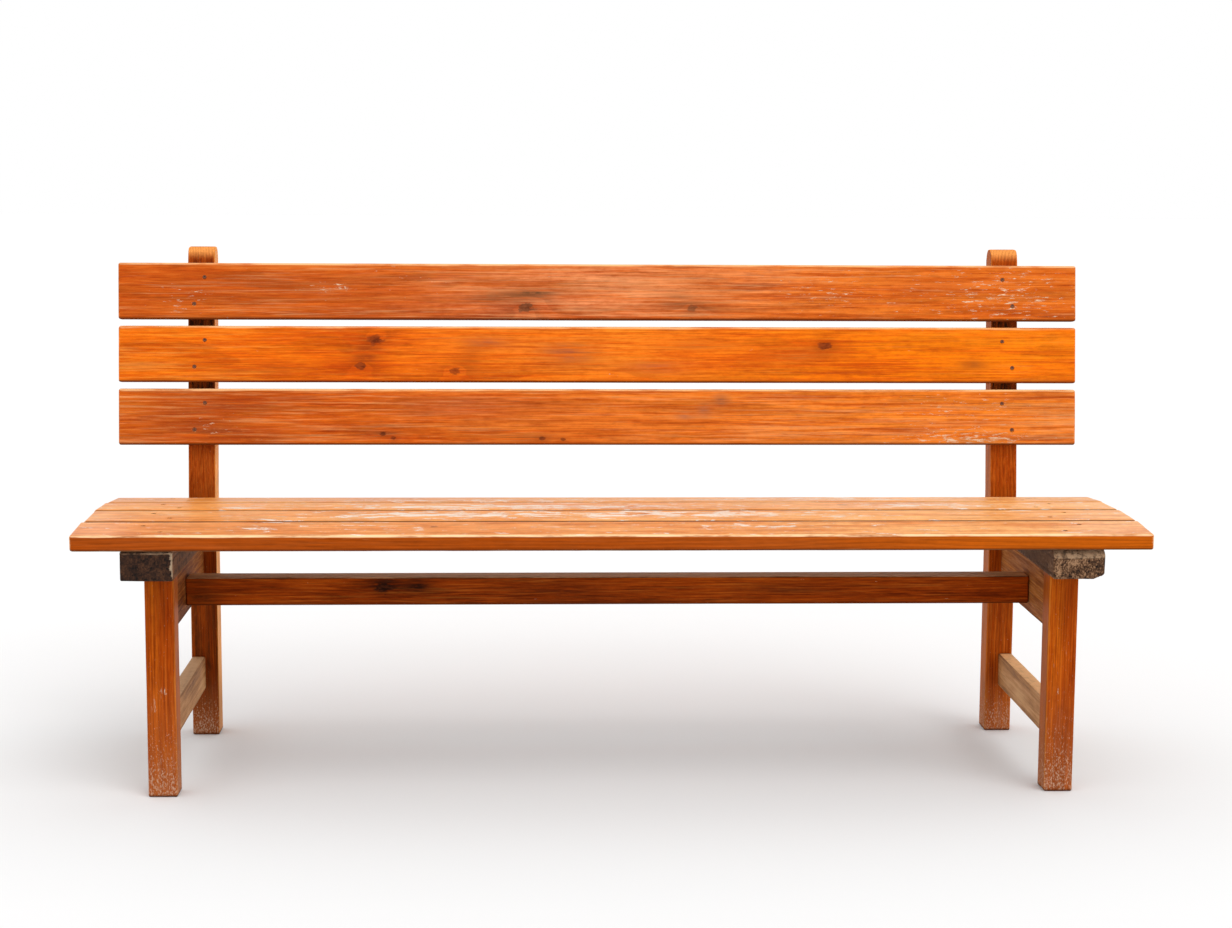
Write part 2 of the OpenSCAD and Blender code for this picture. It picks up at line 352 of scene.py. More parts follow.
def oval(g, along, across, place):
    """1 at a place, falling off smoothly. A place is (along, across, reach along, reach across)."""
    da = g.mul(g.math("SUBTRACT", along, place[0]), 1 / place[2])
    dc = g.mul(g.math("SUBTRACT", across, place[1]), 1 / place[3])
    return g.math("EXPONENT", g.mul(g.add(g.mul(da, da), g.mul(dc, dc)), -1.0))


def centred(g, value, amount):
    """The value about 0.5, made to swing by amount about 0."""
    return g.mul(g.math("SUBTRACT", value, 0.5), amount)


def faces_to(g, way, low=0.45, high=0.85):
    """1 on the sides of the piece that face a way, such as (0, 0, -1) for its underside."""
    turned = g.node("ShaderNodeVectorMath", out=1, settings={"operation": "DOT_PRODUCT"},
                    i0=g.attribute("facing", out=1), i1=way)
    return g.step(turned, low, high)


# The noises that stained wood is made of: scale along the grain, across it and into the wood, then
# detail, roughness and distortion
WOOD_NOISES = {"ripple": ((5, 26, 26), 3.0, 0.55, 0.0),
               "grit": ((55, 140, 140), 3.0, 0.65, 0.0),
               "wander": ((1.1, 5, 5), 2.0, 0.55, 0.0),
               "cloud": ((2.2, 17, 17), 4.0, 0.62, 0.5),
               "streak": ((4.2, 150, 150), 6.0, 0.68, 0.0),
               "fibre": ((9, 520, 520), 3.0, 0.6, 0.0),
               "stroke": ((17, 300, 300), 5.0, 0.72, 0.2),
               "thin": ((6, 230, 230), 5.0, 0.7, 0.0),
               "broken": ((10, 80, 80), 4.0, 0.7, 0.0)}


class Wood:
    """Where a piece's grain runs, and the noises that its coat, knots and wear share."""

    def __init__(self, g, grain, seed, broad):
        self.along, self.across, self.deep, self.space = grain_space(g, grain, seed, broad)
        for name, (scale, *looks) in WOOD_NOISES.items():
            setattr(self, name, g.noise(g.stretch(self.space, scale), 1.0, *looks))


def knotted_rings(g, w, knots, pith, rings):
    """Late wood in growth rings about a pith line that wanders, bent round each knot. Returns it, the
    knots' dark cores and the darker wood about them."""
    side = g.add(w.across, g.add(pith[0], centred(g, w.wander, 0.07)))
    depth = g.add(w.deep, g.add(pith[1], centred(g, w.ripple, 0.010)))
    radius = g.math("SQRT", g.add(g.mul(side, side), g.mul(depth, depth)))
    core, halo = 0.0, 0.0
    for (at, over, size, darkness) in knots:
        near = oval(g, w.along, w.across, (at, over, size * 2.6, size * 1.7))
        radius = g.add(radius, g.mul(near, size * 0.5))
        tight = oval(g, w.along, w.across, (at, over, size * 1.3, size * 0.85))
        tight = g.add(g.add(tight, centred(g, w.grit, 1.7)), centred(g, w.stroke, 0.8))
        core = g.math("MAXIMUM", core, g.step(tight, 0.42, 0.72, 0.0, darkness))
        wide = oval(g, w.along, w.across, (at, over, size * 6.0, size * 1.4))
        halo = g.math("MAXIMUM", halo, g.mul(wide, g.step(w.streak, 0.35, 0.6, 0.35, darkness)))
    ring = g.math("FRACT", g.mul(radius, rings))
    return g.mul(g.step(ring, 0.25, 0.85), g.step(ring, 1.0, 0.9)), core, halo


def coat_colour(g, w, tones, halo, blotch, streaks, haze, pale):
    """The coat: slow clouds, streaks and strokes along the grain, and a pale haze where it is thin."""
    tone = g.add(g.add(0.5, centred(g, w.cloud, blotch)), centred(g, w.streak, streaks))
    tone = g.add(tone, centred(g, w.stroke, 2.1))
    tone = g.math("SUBTRACT", tone, g.mul(halo, 0.6))
    colour = g.ramp(tone, *zip((0.0, 0.5, 1.0), tones))
    thin = g.step(g.add(w.thin, centred(g, w.wander, 0.5)), 0.50, 0.72, 0.0, haze)
    return g.mix(thin, colour, rgba(pale))


def add_stains(g, w, colour, stains, sides):
    """Streaky marks in the coat at their places, some of them painted shadows and a painted sheen, then the
    tints of whole sides or of a place on them, mostly painted light and shade on a side by the way it faces.
    """
    for (*place, amount, tint) in stains:
        streaky = g.step(w.streak, 0.40, 0.58, amount * 0.2, amount * 1.1)
        mask = g.mul(oval(g, w.along, w.across, place), streaky)
        mask = g.mul(mask, g.step(w.grit, 0.3, 0.6, 0.55, 1.0))
        colour = g.mix(mask, colour, rgba(tint))
    for (way, tint, amount, *places) in sides:
        mask = g.mul(faces_to(g, way), amount)
        for place in places:
            mask = g.mul(mask, oval(g, w.along, w.deep, place))
        colour = g.mix(mask, colour, rgba(tint))
    return colour


def rub_edges(g, w, colour, rubbed, edge_tone, edge_highlights):
    """Broken patches of a paler coat along every edge, and painted highlights: light lines along the edges
    that face the given ways.
    """
    rub = g.step(g.add(g.mul(g.attribute("wear"), 0.40), centred(g, w.broken, 0.8)), 0.20, 0.42, 0.0, rubbed)
    colour = g.mix(rub, colour, rgba(edge_tone))
    # Painted highlight: a light, patchy line on the edges that face each given way.
    for (way, tint, amount) in edge_highlights:
        patchy = g.step(g.add(w.broken, centred(g, w.streak, 0.6)), 0.34, 0.58, 0.15, amount)
        colour = g.mix(g.mul(faces_to(g, way, 0.74, 0.90), patchy), colour, rgba(tint))
    return colour


def lost_coat(g, w, worn, flecks, lost_at, crisp, chip_scale, whole):
    """Where the coat is gone: in flecks over all, more of them in the worn places."""
    chips = g.noise(g.stretch(w.space, chip_scale), 1.0, 5.0, 0.75, 0.3)
    zone = g.mul(g.step(w.cloud, 0.5, 0.75), flecks)
    for (*place, amount) in worn:
        zone = g.add(zone, g.mul(oval(g, w.along, w.across, place), amount))
    lost = g.step(g.add(chips, g.mul(zone, 0.15)), lost_at, lost_at + crisp, 0.0, 0.85)
    if whole:
        lost = g.mul(lost, faces_to(g, [-c for c in whole], -0.8, -0.4))
    return lost


def splash_foot(g, w, colour, lost, foot):
    """Rain has splashed the wood up to the height foot: a browner coat with pocks and smears."""
    low = g.step(g.split(g.node("ShaderNodeTexCoord", out=3))[2], foot, 0.0)
    pock = g.noise(g.stretch(w.space, (230, 420, 420)), 1.0, 4.0, 0.7)
    smear = g.step(g.add(w.broken, g.mul(low, 0.10)), 0.60, 0.80, 0.0, 0.16)
    dense = g.mul(g.mul(low, low), 0.17)
    lost = g.math("MAXIMUM", lost, g.step(g.add(pock, dense), 0.64, 0.78, 0.0, 0.6))
    lost = g.math("MAXIMUM", lost, g.mul(smear, low))
    return g.mix(g.mul(low, 0.45), colour, rgba((0.32, 0.10, 0.028))), lost


def stained_wood(name, grain, seed, tones, knots=(), stains=(), worn=(), sides=(), edge_highlights=(), gaps=(),
                 whole=None, pith=(0.05, -0.09), rings=190, late=0.16, broad=1.0, blotch=1.5, streaks=1.4,
                 haze=0.3, pale=(0.92, 0.36, 0.055), rubbed=0.3, edge_tone=(0.88, 0.36, 0.07), flecks=0.0,
                 lost_at=0.69, crisp=0.08, chip_scale=(45, 260, 260), bare=(0.95, 0.70, 0.48), foot=0.0,
                 gloss=0.36, shine=0.04, top_shine=0.0,
                 core_tones=((0.045, 0.010, 0.004), (0.20, 0.040, 0.010))):
    """Wood under an orange stain, whose tones are its dark, middle and light colour. A knot is (along,
    across, radius, darkness); a stain is (along, across, reach along, reach across, amount, colour), and
    some stains are painted shadows and a painted sheen; a worn place is the same without a colour; a side
    is (way it faces, colour, amount) and may have a place on it, and its tint is mostly painted light and
    shade on that side; and an edge highlight, a painted highlight along an edge, and a gap, dirt and
    painted shade in a gap, which the wear doesn't reach, are a side without a place.
    On the side that faces the way called whole, hardly any of the coat is lost."""
    g = Graph(name)
    w = Wood(g, grain, seed, broad)
    late_wood, core, halo = knotted_rings(g, w, knots, pith, rings)
    colour = coat_colour(g, w, tones, halo, blotch, streaks, haze, pale)
    colour = add_stains(g, w, colour, stains, sides)
    value = g.add(g.add(1.0, centred(g, w.fibre, 0.9)), g.mul(late_wood, -late))
    value = g.add(value, centred(g, w.grit, 0.35))
    colour = g.node("ShaderNodeHueSaturation", Value=value, Color=colour)
    if knots:
        colour = g.mix(core, colour, g.ramp(w.grit, (0.38, core_tones[0]), (0.60, core_tones[1])))

    colour = rub_edges(g, w, colour, rubbed, edge_tone, edge_highlights)
    lost = lost_coat(g, w, worn, flecks, lost_at, crisp, chip_scale, whole)
    if foot > 0:
        colour, lost = splash_foot(g, w, colour, lost, foot)
    colour = g.mix(lost, colour, g.ramp(w.fibre, (0.3, tuple(c * 0.75 for c in bare)), (0.7, bare)))
    # Dirt and painted shade on the sides that face a gap between boards.
    for (way, tint, amount) in gaps:
        colour = g.mix(g.mul(faces_to(g, way, 0.30, 0.75), amount), colour, rgba(tint))
    # Painted shade: undersides and lower edges are darkened towards a dark brown.
    underside_shade = g.math("MAXIMUM", faces_to(g, DOWN, 0.15, 0.8), g.step(g.attribute("skirt"), 0.12, 0.62))
    colour = g.mix(g.mul(underside_shade, 0.85), colour, rgba((0.09, 0.018, 0.003)))
    g.put(g.shader.inputs["Base Color"], colour)

    rough = g.add(g.add(gloss, centred(g, w.cloud, 0.25)), centred(g, w.streak, 0.2))
    rough = g.add(rough, g.mul(g.math("MAXIMUM", lost, underside_shade), 0.35))
    g.put(g.shader.inputs["Roughness"], rough)
    g.put(g.shader.inputs["Specular IOR Level"], g.add(g.mul(faces_to(g, UP), top_shine), shine))

    height = g.add(g.add(g.mul(w.fibre, 0.4), g.mul(late_wood, 0.25)), g.mul(w.streak, 0.8))
    height = g.math("SUBTRACT", height, g.mul(lost, 0.8))
    if knots:
        height = g.math("SUBTRACT", height, g.mul(core, 0.8))
    g.put(g.shader.inputs["Normal"], g.node("ShaderNodeBump", Strength=0.6, Distance=0.0006, Height=height))
    return g.material


def bare_wood(name, grain, seed, tones, remains=(0.5, 0.4, 0.3), left=0.0, edges=0.3,
              cracks=0.5, rough=0.82, relief=0.9, sides=(), ragged=0.75, grit=0.0, patches=()):
    """Unpainted, weathered wood: ridged fibres, open cracks, and what is left of an old coat.
    A side is (way it faces, colour, amount), more broken the more ragged it is. A patch of the old
    coat on an end is (across, deep, reach across, reach deep, amount)."""
    g = Graph(name)
    along, across, deep, space = grain_space(g, grain, seed)
    fibre = g.noise(g.stretch(space, (12, 480, 480)), 1.0, 3.0, 0.65)
    streak = g.noise(g.stretch(space, (3, 95, 95)), 1.0, 5.0, 0.68)
    cloud = g.noise(g.stretch(space, (6, 22, 22)), 1.0, 4.0, 0.65)
    tone = g.add(g.add(0.5, centred(g, cloud, 1.6)), g.add(centred(g, streak, 1.8), centred(g, fibre, 0.9)))
    if grit:
        tone = g.add(tone, centred(g, g.noise(g.stretch(space, (90, 260, 420)), 1.0, 4.0, 0.7), grit))
    colour = g.ramp(tone, *zip((0.0, 0.5, 1.0), tones))
    line = g.noise(g.stretch(space, (2.6, 170, 170)), 1.0, 4.0, 0.6)
    crack = g.step(g.add(line, centred(g, cloud, 0.2)), 0.33 + 0.08 * cracks, 0.27 + 0.08 * cracks)
    colour = g.mix(g.mul(crack, 0.85), colour, rgba(tuple(c * 0.25 for c in tones[0])))
    flake = g.noise(space, 75.0, 5.0, 0.72)
    hold = g.add(g.add(centred(g, flake, 1.0), g.mul(g.attribute("wear"), edges)), left)
    for (*place, amount) in patches:
        hold = g.add(hold, g.mul(oval(g, across, deep, place), amount))
    stuck = g.step(hold, 0.26, 0.38)
    colour = g.mix(g.mul(stuck, 0.75), colour, rgba(remains))
    for (way, tint, amount) in sides:
        patchy = g.step(g.add(flake, centred(g, streak, 0.5)), 0.36, 0.56, amount * (1 - ragged), amount)
        colour = g.mix(g.mul(faces_to(g, way, 0.72, 0.92), patchy), colour, rgba(tint))
    g.put(g.shader.inputs["Base Color"], colour)
    g.put(g.shader.inputs["Roughness"], g.add(rough, centred(g, streak, 0.25)))
    g.shader.inputs["Specular IOR Level"].default_value = 0.2
    height = g.add(g.add(g.mul(fibre, 0.6), g.mul(streak, 0.9)), g.mul(flake, 0.6))
    height = g.math("SUBTRACT", g.add(height, g.mul(stuck, 0.25)), g.mul(crack, 1.4))
    g.put(g.shader.inputs["Normal"],
          g.node("ShaderNodeBump", Strength=relief, Distance=0.0012, Height=height))
    return g.material


def rusty_steel(name):
    """Old screws: dull brown rust with a little bare metal."""
    g = Graph(name)
    place = g.node("ShaderNodeTexCoord", out=3)
    fine = g.noise(place, 900.0, 4.0, 0.7)
    patch = g.noise(place, 260.0, 3.0, 0.6)
    colour = g.ramp(g.add(g.mul(fine, 0.5), g.mul(patch, 0.5)),
                    (0.3, (0.07, 0.022, 0.010)), (0.55, (0.20, 0.06, 0.02)), (0.75, (0.42, 0.24, 0.14)))
    g.put(g.shader.inputs["Base Color"], colour)
    g.put(g.shader.inputs["Metallic"], g.step(patch, 0.55, 0.65, 0.0, 0.6))
    g.put(g.shader.inputs["Roughness"], g.add(0.45, g.mul(fine, 0.35)))
    g.put(g.shader.inputs["Normal"], g.node("ShaderNodeBump", Strength=0.5, Distance=0.0002, Height=fine))
    return g.material


# ---------------------------------------------------------------- back slats


def on_slat(node, share_along, share_up, *rest):
    """A place on a slat or the stretcher: shares of its length from the left end and of its height from
    the lower edge, then what else belongs to it."""
    low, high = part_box(node)
    return (low.x + (high.x - low.x) * share_along, low.z + (high.z - low.z) * share_up, *rest)


def on_board(node, share_along, share_back, *rest):
    """A place on a seat board: shares of its length from the left end and of its width from the front."""
    low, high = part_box(node)
    return (low.x + (high.x - low.x) * share_along, low.y + (high.y - low.y) * share_back, *rest)


def timber(node, slot, along, material, seed, **how):
    """A straight piece of timber in a CAD node's place. How it is carved may differ."""
    centre, axes, half = oriented_box(node, along)
    obj = carve(node + "_timber", centre, axes, half, seed, **{"radius": 4.2 * MM, **how})
    return finish_piece(obj, node, material)


TOP, MIDDLE, BOTTOM = "back_slat_top", "back_slat_middle", "back_slat_bottom"
SMOKE = (0.20, 0.065, 0.018)
BURNT = (0.33, 0.045, 0.006)
# Painted highlight: a light line along the upper front edge of each back slat.
SLAT_EDGE_HIGHLIGHT = [((0, -0.62, 0.78), (1.0, 0.60, 0.28), 0.75)]


def top_slat_wood():
    """Reddish, with a painted sheen in the middle, two grey knots, and chipped most at its right end."""
    at = partial(on_slat, TOP)
    return stained_wood(
        "slat_top_stain", "slat", 1, ((0.40, 0.050, 0.003), (0.60, 0.105, 0.007), (0.76, 0.19, 0.025)),
        knots=[at(0.421, 0.24, 0.013, 0.8), at(0.595, 0.24, 0.009, 0.55)],
        core_tones=((0.05, 0.018, 0.008), (0.16, 0.06, 0.025)),
        # The first stain is a painted sheen: a pale pinkish patch over the middle of the slat.
        stains=[at(0.50, 0.6, 0.30, 0.06, 0.60, (0.86, 0.34, 0.15)),
                at(0.80, 0.5, 0.38, 0.09, 0.60, (0.86, 0.22, 0.02)),
                at(0.43, 0.50, 0.045, 0.009, 0.9, (0.14, 0.06, 0.025)),
                at(0.40, 0.42, 0.06, 0.012, 0.7, SMOKE), at(0.15, 0.5, 0.25, 0.05, 0.5, BURNT),
                at(0.60, 0.28, 0.06, 0.012, 0.7, SMOKE), at(0.33, 0.85, 0.10, 0.012, 0.6, BURNT),
                at(0.578, 0.36, 0.025, 0.012, 0.9, (0.30, 0.10, 0.035)),
                at(0.85, 0.62, 0.10, 0.020, 0.7, (0.62, 0.13, 0.02))],
        worn=[at(0.07, 0.4, 0.08, 0.03, 0.7), at(0.22, 0.55, 0.05, 0.02, 0.9),
              at(0.31, 0.7, 0.10, 0.02, 0.4), at(0.93, 0.45, 0.17, 0.07, 0.95),
              at(0.74, 0.5, 0.14, 0.05, 0.72)],
        flecks=0.25, edge_highlights=SLAT_EDGE_HIGHLIGHT, pith=(-0.85, 0.02), haze=0.5, pale=(0.92, 0.46, 0.20))


def middle_slat_wood():
    """The brightest slat: four knots and smoky marks between them, and hardly chipped."""
    at = partial(on_slat, MIDDLE)
    return stained_wood(
        "slat_middle_stain", "slat", 2, ((0.58, 0.075, 0.002), (0.80, 0.150, 0.003), (0.95, 0.25, 0.012)),
        knots=[at(0.265, 0.76, 0.012, 0.9), at(0.25, 0.30, 0.009, 0.9), at(0.347, 0.22, 0.009, 0.7),
               at(0.735, 0.67, 0.011, 0.95)],
        core_tones=((0.09, 0.014, 0.004), (0.28, 0.05, 0.008)),
        stains=[at(0.50, 0.6, 0.28, 0.06, 0.55, (0.95, 0.30, 0.03)),
                at(0.85, 0.5, 0.40, 0.09, 0.65, (0.99, 0.25, 0.002)),
                at(0.255, 0.52, 0.026, 0.028, 1.0, (0.38, 0.06, 0.005)),
                at(0.365, 0.40, 0.020, 0.030, 0.7, (0.50, 0.10, 0.008)),
                at(0.735, 0.6, 0.05, 0.016, 0.7, (0.50, 0.09, 0.006)),
                at(0.382, 0.72, 0.040, 0.010, 0.8, (0.42, 0.10, 0.03)),
                at(0.466, 0.55, 0.055, 0.020, 0.9, (0.42, 0.10, 0.03)),
                at(0.56, 0.30, 0.06, 0.012, 0.7, (0.48, 0.10, 0.03)),
                at(0.13, 0.25, 0.09, 0.010, 0.6, (0.40, 0.08, 0.01)),
                at(0.70, 0.50, 0.055, 0.012, 0.8, (0.50, 0.12, 0.02)),
                at(0.60, 0.68, 0.08, 0.008, 0.7, (0.50, 0.11, 0.015)),
                at(0.89, 0.35, 0.025, 0.010, 0.8, (0.42, 0.10, 0.01))],
        worn=[at(0.115, 0.78, 0.012, 0.010, 0.6), at(0.51, 0.2, 0.06, 0.012, 0.4)],
        flecks=0.05, edge_highlights=SLAT_EDGE_HIGHLIGHT, rubbed=0.25, pith=(-0.72, 0.05), gloss=0.32, haze=0.35,
        pale=(0.97, 0.42, 0.08))


def bottom_slat_wood():
    """Small knots near its lower edge, dark at its left end, and chipped along its lower right edge."""
    at = partial(on_slat, BOTTOM)
    return stained_wood(
        "slat_bottom_stain", "slat", 3, ((0.42, 0.055, 0.003), (0.65, 0.120, 0.007), (0.82, 0.22, 0.025)),
        knots=[at(0.273, 0.22, 0.006, 0.8), at(0.284, 0.14, 0.005, 0.7), at(0.438, 0.14, 0.005, 0.8),
               at(0.46, 0.12, 0.004, 0.7)],
        stains=[at(0.50, 0.4, 0.28, 0.06, 0.55, (0.85, 0.23, 0.03)),
                at(0.82, 0.5, 0.36, 0.09, 0.70, (0.92, 0.27, 0.025)),
                at(0.27, 0.22, 0.05, 0.010, 0.7, SMOKE), at(0.42, 0.15, 0.08, 0.010, 0.5, SMOKE),
                at(0.13, 0.78, 0.14, 0.020, 0.8, BURNT), at(0.12, 0.2, 0.12, 0.020, 0.85, BURNT),
                at(0.07, 0.5, 0.08, 0.05, 0.6, BURNT),
                at(0.36, 0.70, 0.12, 0.020, 0.5, (0.45, 0.13, 0.06)),
                at(0.625, 0.80, 0.014, 0.012, 1.0, (0.40, 0.13, 0.05)),
                at(0.608, 0.64, 0.014, 0.012, 1.0, (0.42, 0.14, 0.06)),
                at(0.588, 0.54, 0.018, 0.008, 0.9, (0.50, 0.16, 0.06))],
        worn=[at(0.89, 0.10, 0.16, 0.016, 1.05), at(0.10, 0.30, 0.06, 0.03, 0.7),
              at(0.88, 0.65, 0.15, 0.06, 0.80)],
        flecks=0.2, edge_highlights=SLAT_EDGE_HIGHLIGHT, pith=(-0.6, 0.03), haze=0.5, pale=(0.92, 0.46, 0.18))


timber(TOP, "slat_top_paint", X, top_slat_wood(), 11)
timber(MIDDLE, "slat_middle_paint", X, middle_slat_wood(), 12)
timber(BOTTOM, "slat_bottom_paint", X, bottom_slat_wood(), 13)

# ---------------------------------------------------------------- seat

# Dark, middle and light tone of each board, from the front one to the back one
SEAT_TONES = [((0.60, 0.16, 0.030), (0.82, 0.29, 0.080), (0.92, 0.44, 0.17)),
              ((0.64, 0.18, 0.028), (0.88, 0.34, 0.085), (0.95, 0.50, 0.19)),
              ((0.64, 0.17, 0.018), (0.88, 0.32, 0.055), (0.95, 0.48, 0.15)),
              ((0.62, 0.17, 0.018), (0.82, 0.31, 0.050), (0.90, 0.44, 0.13))]
# Worn places of each board, as shares of it, and how much its left and right end are short
SEAT_WORN = [[(0.17, 0.45, 0.03, 0.015, 0.9), (0.31, 0.40, 0.04, 0.010, 0.9), (0.62, 0.6, 0.12, 0.02, 0.8)],
             [(0.17, 0.2, 0.04, 0.015, 0.8), (0.36, 0.55, 0.25, 0.035, 1.0), (0.62, 0.6, 0.20, 0.03, 0.9)],
             [(0.14, 0.25, 0.04, 0.02, 0.9), (0.42, 0.4, 0.28, 0.035, 1.1), (0.80, 0.5, 0.10, 0.03, 1.0)],
             [(0.35, 0.3, 0.25, 0.03, 0.9), (0.70, 0.5, 0.25, 0.03, 0.8)]]
TRIMS = [(0, 0), (3 * MM, 1 * MM), (1 * MM, 4 * MM), (4 * MM, 2 * MM)]
# Painted shade on the front face of the front seat board, which faces away from the light above; warmer to
# the right.
FRONT_FACE_SHADE = (0.36, 0.055, 0.0)
FRONT_FACE_WARM_SHADE = (0.54, 0.105, 0.002)
# A light line along the top front edge of the seat: worn paint and a painted highlight.
SEAT_EDGE_HIGHLIGHT = (1.0, 0.66, 0.36)
BRIGHT = (1.0, 0.53, 0.20)
# Dark brown on the sides in the gaps between seat boards: dirt and painted shade.
GAP_DIRT_AND_SHADE = (0.09, 0.016, 0.003)


def front_edge():
    """The front of the first seat board: painted shade on its front face, warmer to the right, under a light
    line along its top edge, worn paint and a painted highlight.
    """
    return {"sides": [(FRONT, FRONT_FACE_SHADE, 0.95), (FRONT, FRONT_FACE_WARM_SHADE, 0.9, (0.80, 0.42, 0.42, 0.1))],
            "edge_highlights": [((0, -0.707, 0.707), SEAT_EDGE_HIGHLIGHT, 0.95)], "whole": FRONT}


def seat_wood(number):
    """A seat board's look: sun-bleached and worn on top, with dirt and painted shade in the gaps to its
    neighbours.
    """
    at = partial(on_board, f"seat_board_{number}")
    # Dirt and painted shade on the sides that face the gaps to the neighbouring boards.
    gaps = [(FRONT, GAP_DIRT_AND_SHADE, 0.95)] if number > 1 else []
    gaps += [(BACK, GAP_DIRT_AND_SHADE, 0.9)] if number < len(SEAT_TONES) else []
    return stained_wood(
        f"seat_board_{number}_stain", "seat", 20 + number, SEAT_TONES[number - 1],
        knots=[at(0.13 + 0.2 * number, 0.6, 0.008, 0.5)],
        worn=[at(*place) for place in SEAT_WORN[number - 1]],
        stains=[at(0.85, 0.5, 0.50, 0.12, 0.75, BRIGHT)], gaps=gaps,
        rubbed=0.75, flecks=0.5, pith=(0.3, -0.45), bare=(1.0, 0.93, 0.82), haze=0.5,
        pale=(0.95, 0.56, 0.24), edge_tone=(0.92, 0.55, 0.26), gloss=0.38, shine=0.03,
        broad=2.6, lost_at=0.62, crisp=0.035, chip_scale=(24, 190, 110), top_shine=0.12,
        **(front_edge() if number == 1 else {}))


for number, trim in enumerate(TRIMS, start=1):
    first = number == 1
    timber(f"seat_board_{number}", "seat_edge_paint" if first else "seat_paint", X, seat_wood(number),
           20 + number, radius=(4.2 if first else 5.6) * MM, sag=0.3 * MM, trim=trim)

# ---------------------------------------------------------------- legs and posts


def side_line(node, share):
    """The x of a line near a side of a CAD node, a share of its width in from its inner side, and its box."""
    low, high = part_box(node)
    x = low.x + (high.x - low.x) * (share if low.x > 0 else 1 - share)
    return x, low, high


def post_warp(node):
    """Bends a straight post to the CAD post's side view: it leans back above the seat."""
    x, low, high = side_line(node, 0.12)

    def warp(points):
        out = points.copy()
        depth = high.y - low.y
        for i, (px, py, pz) in enumerate(points):
            z = min(max(pz, low.z + 1 * MM), high.z - 0.5 * MM)
            front = reach_on(node, (x, low.y - 0.1, z), Y)
            back = reach_on(node, (x, high.y + 0.1, z), -Y)
            share = (py - low.y) / depth
            out[i, 1] = front.y + (back.y - front.y) * share
        return out
    return warp


def bearer_warp(node, worn_bevel):
    """Fits the top of a bearer to the undersides of the crowned seat boards, and bevels its front."""
    x, low, high = side_line(node, 0.92)
    tall = high.z - low.z

    def warp(points):
        out = points.copy()
        for i, (px, py, pz) in enumerate(points):
            y = min(max(py, low.y + 0.5 * MM), high.y - 0.5 * MM)
            top_z = reach_on(node, (x, y, high.z + 0.1), -Z).z
            up = low.z + (pz - low.z) / tall * (top_z - low.z)
            bevel = worn_bevel * (1 + 0.3 * noise.noise(Vector((px * 40, low.x * 9, 0))))
            out[i, 2] = min(up, top_z - max(0.0, bevel - (py - low.y)))
        return out
    return warp


def box_frame(low, high, order):
    """Centre, axes and half sizes of a box. The order says which of X, Y and Z comes first: 0, 1 or 2."""
    return (low + high) / 2, [(X, Y, Z)[i] for i in order], [(high[i] - low[i]) / 2 for i in order]


# Settings that the stain of the legs and the posts shares
UPRIGHT_STAIN = {"streaks": 1.2, "late": 0.2, "flecks": 0.3, "gloss": 0.45, "shine": 0.02,
                 "bare": (0.74, 0.50, 0.34), "edge_tone": (0.80, 0.27, 0.035)}


def front_leg(side, number):
    """A square leg: the right one is lighter, as painted light from the right, and each has painted light and
    shade on its inner side; the left one has two scuffs low down.
    """
    right_hand = side == "right"
    leg = f"front_leg_{side}"
    low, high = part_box(leg)
    x = (low.x + high.x) / 2
    away = 0.004 if right_hand else -0.004
    # The right leg's tones are lighter: painted light, with the light coming from the right.
    tones = (((0.25, 0.028, 0.001), (0.40, 0.060, 0.002), (0.54, 0.11, 0.008)) if right_hand else
             ((0.23, 0.026, 0.001), (0.37, 0.054, 0.002), (0.50, 0.10, 0.007)))
    scuffs = [(0.175, x + 0.004, 0.02, 0.018, 1.1), (0.145, x - 0.012, 0.012, 0.01, 1.1)]
    look = stained_wood(
        f"{leg}_stain", "upright", 30 + number, tones,
        # Painted light and shade on the inner side: lit on the left leg, shaded on the right one.
        sides=[(LEFT, (0.42, 0.10, 0.006), 0.7) if right_hand else (RIGHT, (0.60, 0.17, 0.03), 0.5)],
        stains=[(0.30, x, 0.05, 0.02, 0.7, (0.16, 0.02, 0.002)),
                (0.40, x + away, 0.03, 0.02, 0.8, (0.14, 0.02, 0.002)),
                (0.27, x - 0.012, 0.16, 0.012, 0.6, (0.62, 0.14, 0.006))],
        worn=[(0.19, x, 0.12, 0.02, 0.45)] if right_hand else scuffs,
        pith=(0.9 if right_hand else -0.9, 0.10), rings=230, rubbed=0.45, haze=0.08, foot=0.24,
        **UPRIGHT_STAIN)
    timber(leg, "leg_paint", Z, look, 30 + number, radius=3.2 * MM, sag=0.5 * MM)


